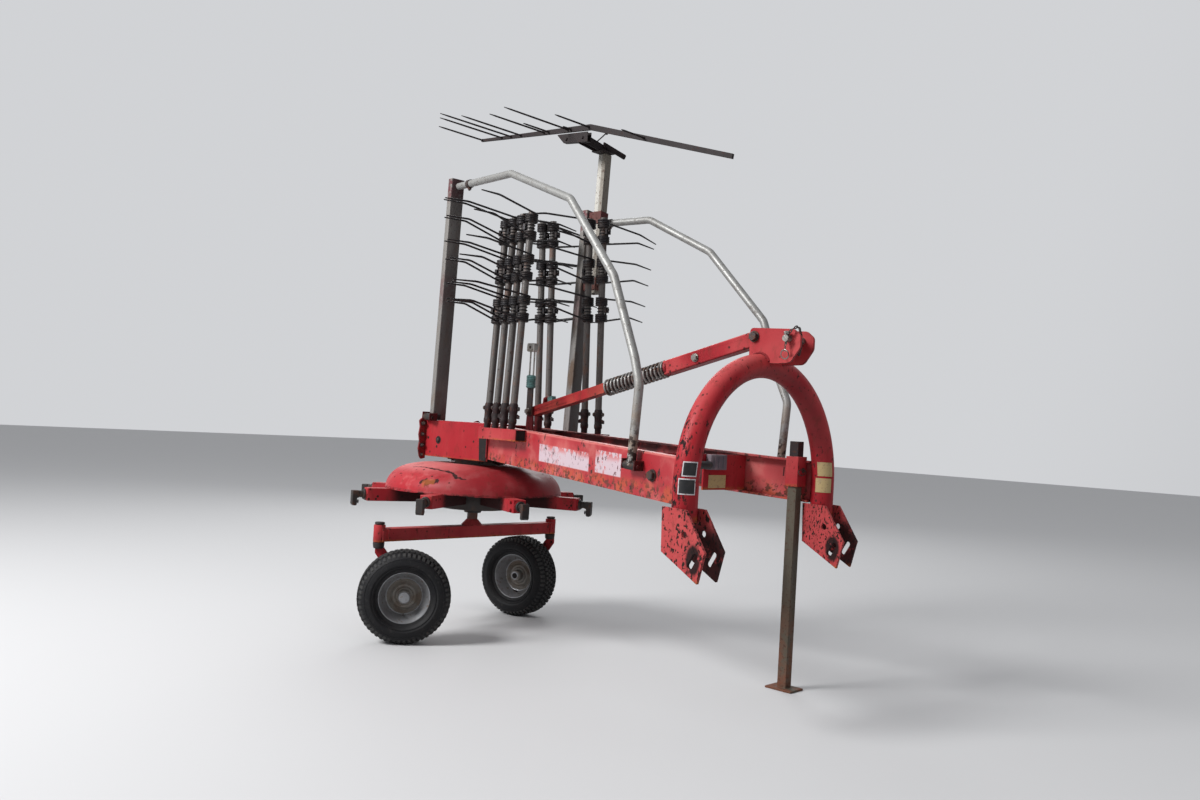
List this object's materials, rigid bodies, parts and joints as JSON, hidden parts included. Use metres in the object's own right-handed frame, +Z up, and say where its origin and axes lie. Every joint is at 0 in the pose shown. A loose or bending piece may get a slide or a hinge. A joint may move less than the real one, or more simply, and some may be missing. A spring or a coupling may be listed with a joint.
{
  "type": "rotary hay rake",
  "caption": "Mounted rotary hay rake in its parked state: tine arms stood in racks, guards and swath comb folded up, arched hitch, castor wheels and a parking stand.",
  "frame": {"origin": "on the ground under the middle of the machine's outline", "axes": "+X towards the tractor, +Y to the machine's left, +Z up"},
  "size_m": [2.3944, 1.2766, 2.4719],
  "materials": {
    "red_paint": "faded red enamel, chipped, with rust along the lower edges",
    "arm_steel": "dark weathered steel, brown rust film",
    "galvanised": "dull galvanised tube with grey spangle and stains",
    "bright_steel": "worn bright steel",
    "spring_steel": "black oiled spring steel",
    "dark_cast": "dark cast iron with old paint and rust",
    "rim_silver": "silver grey enamel, scuffed",
    "tyre_rubber": "dusty black block-tread tyre"
  },
  "bodies": {
    "chassis": {"headstock_arch": "red_paint", "link_plates_right": "red_paint", "link_plates_left": "red_paint", "mast_plates": "red_paint", "mast_pins": "bright_steel", "stay_front_tube": "red_paint", "stay_spring": "spring_steel", "stay_rear_tube": "red_paint", "rear_box": "red_paint", "side_member_right": "red_paint", "side_member_left": "red_paint", "cross_plate": "red_paint", "shaft_rest": "dark_cast", "stay_tie": "red_paint", "stay_lock": "galvanised", "gearbox": "dark_cast", "drive_stub": "bright_steel", "main_shaft": "bright_steel", "crossbar": "red_paint", "stand_sleeve": "red_paint", "rack_right": "red_paint", "rack_left": "red_paint", "guard_hinges": "red_paint", "tine_arms_right_rear": "arm_steel", "tine_arms_right_front": "arm_steel", "tine_arms_left_rear": "arm_steel", "tine_arms_left_front": "arm_steel"},
    "rotor": {"rotor_hub": "dark_cast", "rotor_cover": "red_paint", "arm_holders": "red_paint", "arm_claws": "dark_cast"},
    "castor_right": {"castor_leg_right": "red_paint"},
    "castor_left": {"castor_leg_left": "red_paint"},
    "wheel_right": {"rim_right": "rim_silver", "tyre_right": "tyre_rubber"},
    "wheel_left": {"rim_left": "rim_silver", "tyre_left": "tyre_rubber"},
    "guard_right": {"guard_right": "galvanised"},
    "guard_left": {"guard_left": "galvanised", "pole_sleeves": "arm_steel"},
    "swath_comb": {"swath_pole": "galvanised", "comb_carrier": "spring_steel", "swath_comb": "spring_steel"},
    "stand": {"stand_leg": "arm_steel"}
  },
  "joints": [
    {"name": "rotor_spin", "type": "hinge", "parent": "chassis", "child": "rotor", "pos_m": [-0.625, 0, 0.6], "axis": [0, 0, 1], "continuous": true},
    {"name": "castor_right_swivel", "type": "hinge", "parent": "chassis", "child": "castor_right", "pos_m": [-0.625, -0.52, 0.46], "axis": [0, 0, 1], "continuous": true},
    {"name": "castor_left_swivel", "type": "hinge", "parent": "chassis", "child": "castor_left", "pos_m": [-0.625, 0.52, 0.46], "axis": [0, 0, 1], "continuous": true},
    {"name": "wheel_right_spin", "type": "hinge", "parent": "castor_right", "child": "wheel_right", "pos_m": [-0.48777, -0.46349, 0.202], "axis": [0.8192, -0.5736, 0], "continuous": true},
    {"name": "wheel_left_spin", "type": "hinge", "parent": "castor_left", "child": "wheel_left", "pos_m": [-0.72503, 0.41037, 0.202], "axis": [0.2588, -0.9659, 0], "continuous": true},
    {"name": "guard_right_fold", "type": "hinge", "parent": "chassis", "child": "guard_right", "pos_m": [-0.79, -0.172, 0.99], "axis": [0.9854, -0.1486, -0.0833], "range_deg": [0, 88]},
    {"name": "guard_left_fold", "type": "hinge", "parent": "chassis", "child": "guard_left", "pos_m": [-0.275, 0.279, 0.913], "axis": [-0.9909, -0.1262, 0.0471], "range_deg": [0, 83]},
    {"name": "swath_slide", "type": "slide", "parent": "guard_left", "child": "swath_comb", "axis": [-0.0288, 0.0648, 0.9975], "range_m": [0, 0.25]},
    {"name": "stand_slide", "type": "slide", "parent": "chassis", "child": "stand", "axis": [0, 0, 1], "range_m": [0, 0.4]}
  ]
}
